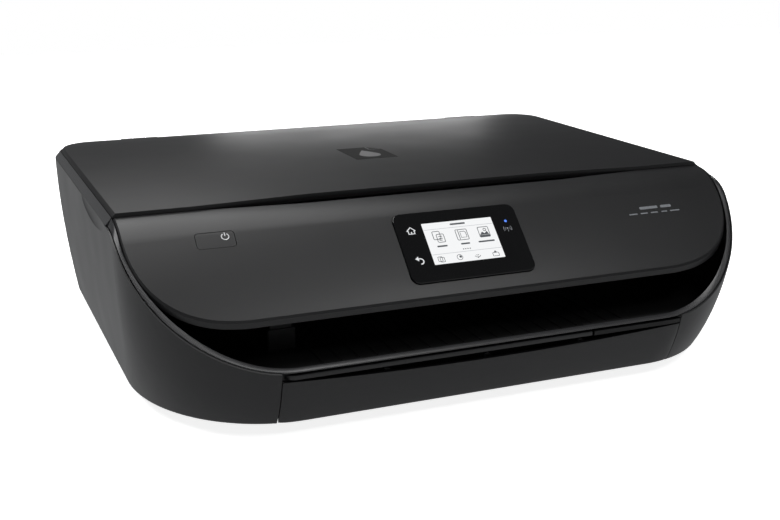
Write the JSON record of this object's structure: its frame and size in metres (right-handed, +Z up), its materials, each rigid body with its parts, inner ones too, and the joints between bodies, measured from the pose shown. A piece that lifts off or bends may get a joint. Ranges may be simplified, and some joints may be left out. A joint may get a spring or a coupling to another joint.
{
  "type": "inkjet printer",
  "caption": "Low black all-in-one inkjet printer with flatbed scanner lid, sloping control panel with colour touch screen, and pull-out front paper tray.",
  "frame": {"origin": "centre of the footprint on the table, at the underside of the rubber feet", "axes": "+X to the right when facing the front, -Y towards the front where paper comes out, +Z up"},
  "size_m": [0.445, 0.3669, 0.128],
  "materials": {
    "casing": "satin moulded ABS",
    "panel": "satin moulded ABS",
    "lid": "fine textured moulded ABS",
    "rim": "fine cross-hatched moulded ABS",
    "inner_black": "matt moulded polystyrene",
    "rubber": "matt",
    "steel": "plain",
    "plated_steel": "zinc plated sheet",
    "clear_glass": "polished",
    "black_glass": "high gloss",
    "screen": "backlit",
    "circuit_board": "solder mask",
    "foam": "white film on foam",
    "white_acetal": "natural acetal",
    "brass": "turned",
    "belt": "moulded",
    "clear_film": "clear polyester film",
    "grey_plastic": "moulded",
    "ink_black": "moulded",
    "ink_colour": "moulded",
    "bright_metal": "plated"
  },
  "bodies": {
    "base": {"outer_case": "casing", "front_rim": "rim", "base_pan": "inner_black", "rubber_feet": "rubber", "base_screws": "steel", "output_deck": "inner_black", "hinge_brackets": "plated_steel", "access_hinge_pins": "steel", "chassis": "plated_steel", "carriage_rod": "steel", "encoder_strip": "clear_film", "carriage_motor": "plated_steel", "feed_motor": "plated_steel", "carriage_belt": "belt", "platen": "inner_black", "star_bar": "inner_black", "service_station": "grey_plastic", "rear_paper_guide": "inner_black", "power_supply": "casing", "power_inlet": "casing", "usb_socket": "bright_metal", "main_board": "circuit_board"},
    "scanner_unit": {"scanner_frame": "rim", "scanner_base": "inner_black", "scan_rod": "steel", "scanner_glass": "clear_glass", "control_panel": "panel", "display_window": "black_glass", "lcd_module": "screen", "panel_board": "circuit_board", "panel_liner": "inner_black", "lid_hinge_pins": "steel"},
    "lid": {"lid_cover": "lid", "lid_pad": "foam"},
    "scan_head": {"scan_head": "inner_black"},
    "power_button": {"power_button": "panel"},
    "paper_tray": {"tray_front": "casing", "tray_body": "inner_black"},
    "left_width_guide": {"width_guide_left": "grey_plastic"},
    "right_width_guide": {"width_guide_right": "grey_plastic"},
    "length_guide": {"length_guide": "grey_plastic"},
    "extender_arm": {"extender_arm": "casing"},
    "extender_stop": {"extender_stop": "casing"},
    "carriage": {"carriage": "inner_black"},
    "black_cartridge": {"black_cartridge": "ink_black"},
    "colour_cartridge": {"colour_cartridge": "ink_colour"},
    "black_latch": {"black_latch": "grey_plastic"},
    "colour_latch": {"colour_latch": "grey_plastic"},
    "feed_roller": {"feed_roller": "steel"},
    "output_roller": {"output_roller": "steel", "output_tyres": "rubber"},
    "idler_gear": {"idler_gear": "white_acetal"},
    "motor_pinion": {"motor_pinion": "brass"},
    "drive_pulley": {"drive_pulley": "white_acetal"},
    "idler_pulley": {"idler_pulley": "white_acetal"},
    "star_wheels": {"star_wheels": "bright_metal"},
    "service_sled": {"service_sled": "grey_plastic"},
    "turn_roller": {"turn_roller": "grey_plastic"},
    "pick_arm": {"pick_arm": "white_acetal"},
    "pick_roller": {"pick_roller": "rubber"}
  },
  "joints": [
    {"name": "access_hinge", "type": "hinge", "parent": "base", "child": "scanner_unit", "pos_m": [0, 0.1745, 0.112], "axis": [-1, 0, 0], "range_deg": [0, 22]},
    {"name": "lid_hinge", "type": "hinge", "parent": "scanner_unit", "child": "lid", "pos_m": [0, 0.1805, 0.1245], "axis": [-1, 0, 0], "range_deg": [0, 85]},
    {"name": "scan_head_slide", "type": "slide", "parent": "scanner_unit", "child": "scan_head", "axis": [1, 0, 0], "range_m": [0, 0.318]},
    {"name": "power_button_press", "type": "slide", "parent": "scanner_unit", "child": "power_button", "axis": [0, 0.6606, -0.7508], "range_m": [0, 0.0008], "stiffness_N_per_m": 800, "springref_m": -0.0005},
    {"name": "paper_tray_slide", "type": "slide", "parent": "base", "child": "paper_tray", "axis": [0, -1, 0], "range_m": [0, 0.16]},
    {"name": "right_guide_slide", "type": "slide", "parent": "paper_tray", "child": "right_width_guide", "axis": [-1, 0, 0], "range_m": [0, 0.055]},
    {"name": "left_guide_slide", "type": "slide", "parent": "paper_tray", "child": "left_width_guide", "axis": [1, 0, 0], "range_m": [0, 0.055]},
    {"name": "length_guide_slide", "type": "slide", "parent": "paper_tray", "child": "length_guide", "axis": [0, 1, 0], "range_m": [0, 0.12]},
    {"name": "extender_swing", "type": "hinge", "parent": "base", "child": "extender_arm", "pos_m": [-0.132, -0.1767, 0.0406], "axis": [0, 0, -1], "range_deg": [0, 90]},
    {"name": "extender_stop_hinge", "type": "hinge", "parent": "extender_arm", "child": "extender_stop", "pos_m": [0.0663, -0.174, 0.0426], "axis": [0, 1, 0], "range_deg": [0, 90]},
    {"name": "carriage_slide", "type": "slide", "parent": "base", "child": "carriage", "axis": [-1, 0, 0], "range_m": [0, 0.305]},
    {"name": "black_cartridge_pull", "type": "slide", "parent": "carriage", "child": "black_cartridge", "axis": [0, -1, 0], "range_m": [0, 0.03]},
    {"name": "colour_cartridge_pull", "type": "slide", "parent": "carriage", "child": "colour_cartridge", "axis": [0, -1, 0], "range_m": [0, 0.03]},
    {"name": "black_latch_hinge", "type": "hinge", "parent": "carriage", "child": "black_latch", "pos_m": [0.1315, -0.028, 0.0894], "axis": [-1, 0, 0], "range_deg": [0, 65]},
    {"name": "colour_latch_hinge", "type": "hinge", "parent": "carriage", "child": "colour_latch", "pos_m": [0.1735, -0.028, 0.0894], "axis": [-1, 0, 0], "range_deg": [0, 65]},
    {"name": "feed_roller_spin", "type": "hinge", "parent": "base", "child": "feed_roller", "pos_m": [0, 0.018, 0.058], "axis": [1, 0, 0], "continuous": true},
    {"name": "output_roller_spin", "type": "hinge", "parent": "base", "child": "output_roller", "pos_m": [0, -0.052, 0.058], "axis": [1, 0, 0], "continuous": true},
    {"name": "idler_gear_spin", "type": "hinge", "parent": "base", "child": "idler_gear", "pos_m": [-0.2095, -0.017, 0.058], "axis": [1, 0, 0], "continuous": true},
    {"name": "motor_pinion_spin", "type": "hinge", "parent": "base", "child": "motor_pinion", "pos_m": [-0.2095, 0.042, 0.058], "axis": [1, 0, 0], "continuous": true},
    {"name": "turn_roller_spin", "type": "hinge", "parent": "base", "child": "turn_roller", "pos_m": [0, 0.1405, 0.058], "axis": [1, 0, 0], "continuous": true},
    {"name": "star_wheels_spin", "type": "hinge", "parent": "base", "child": "star_wheels", "pos_m": [0, -0.052, 0.0683], "axis": [1, 0, 0], "continuous": true},
    {"name": "pick_arm_hinge", "type": "hinge", "parent": "base", "child": "pick_arm", "pos_m": [0, 0.096, 0.066], "axis": [1, 0, 0], "range_deg": [-12, 0]},
    {"name": "pick_roller_spin", "type": "hinge", "parent": "pick_arm", "child": "pick_roller", "pos_m": [0, 0.062, 0.042], "axis": [1, 0, 0], "continuous": true},
    {"name": "drive_pulley_spin", "type": "hinge", "parent": "base", "child": "drive_pulley", "pos_m": [-0.1865, 0.042, 0.092], "axis": [0, 1, 0], "continuous": true},
    {"name": "idler_pulley_spin", "type": "hinge", "parent": "base", "child": "idler_pulley", "pos_m": [0.1865, 0.042, 0.092], "axis": [0, 1, 0], "continuous": true},
    {"name": "service_sled_slide", "type": "slide", "parent": "base", "child": "service_sled", "axis": [1, 0, 0], "range_m": [0, 0.008]}
  ],
  "couplings": [
    {"joint": "left_guide_slide", "follows": "right_guide_slide", "ratio": 1},
    {"joint": "output_roller_spin", "follows": "feed_roller_spin", "ratio": 1},
    {"joint": "idler_gear_spin", "follows": "feed_roller_spin", "ratio": -1.0588},
    {"joint": "motor_pinion_spin", "follows": "feed_roller_spin", "ratio": -3},
    {"joint": "turn_roller_spin", "follows": "feed_roller_spin", "ratio": 0.375},
    {"joint": "star_wheels_spin", "follows": "feed_roller_spin", "ratio": -1.5},
    {"joint": "pick_roller_spin", "follows": "feed_roller_spin", "ratio": 0.54546},
    {"joint": "drive_pulley_spin", "follows": "carriage_slide", "rad_per_m": 172.41},
    {"joint": "idler_pulley_spin", "follows": "carriage_slide", "rad_per_m": 172.41}
  ]
}
